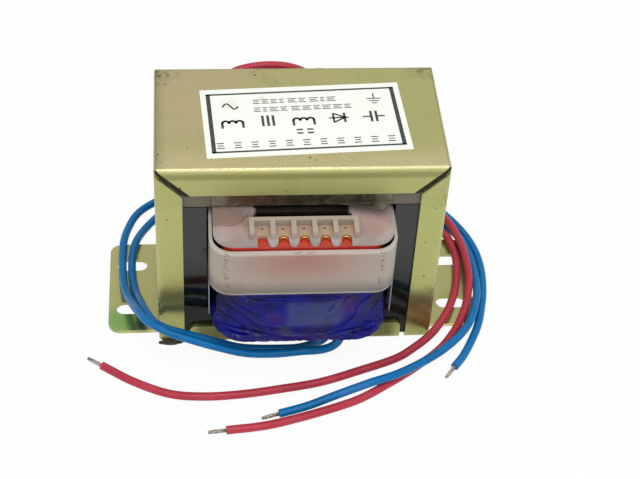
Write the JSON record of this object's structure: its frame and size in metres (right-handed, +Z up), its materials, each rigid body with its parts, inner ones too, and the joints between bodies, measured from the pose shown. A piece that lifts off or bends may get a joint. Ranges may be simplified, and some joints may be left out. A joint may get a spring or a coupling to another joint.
{
  "type": "chassis mount power transformer",
  "caption": "Laminated iron-core power transformer in a folded steel channel frame with slotted mounting feet, a split bobbin with two windings, and flexible red and blue lead wires.",
  "frame": {"origin": "middle of the mounting face, on the underside of the feet", "axes": "+X along the line of the mounting feet, +Y through the lamination stack from front to back, +Z up"},
  "size_m": [0.1335, 0.1216, 0.0739],
  "materials": {
    "plated_steel": "yellow passivated zinc, satin, with scratches and olive shading",
    "core_steel": "dark varnished silicon steel, glossy",
    "nylon": "natural translucent nylon",
    "copper": "enamelled copper wire",
    "red_tape": "glossy polyester tape",
    "blue_film": "glossy wound polyester film",
    "shroud_plastic": "milky translucent plastic",
    "varnished_paper": "dark varnished insulation paper",
    "liner_film": "clear to white insulation film",
    "red_insulation": "soft PVC, slight gloss",
    "blue_insulation": "soft PVC, slight gloss",
    "tinned_copper": "dull tinned strands"
  },
  "bodies": {
    "root": {"frame_cover": "plated_steel", "base_plate": "plated_steel", "e_sheets_upright": "core_steel", "i_sheets_top": "core_steel", "e_sheets_inverted": "core_steel", "i_sheets_bottom": "core_steel", "bobbin": "nylon", "primary_winding": "copper", "primary_tape": "red_tape", "secondary_winding": "copper", "secondary_tape": "blue_film", "shroud_front": "shroud_plastic", "shroud_back": "shroud_plastic", "yoke_insulation": "varnished_paper", "leg_liner_left": "liner_film", "leg_liner_right": "liner_film", "primary_wire_ends": "copper", "primary_lead_1": "red_insulation", "primary_lead_2": "red_insulation", "secondary_lead_1": "blue_insulation", "secondary_lead_2": "blue_insulation", "primary_tip_1": "tinned_copper", "primary_tip_2": "tinned_copper", "secondary_tip_1": "tinned_copper", "secondary_tip_2": "tinned_copper"}
  },
  "joints": []
}
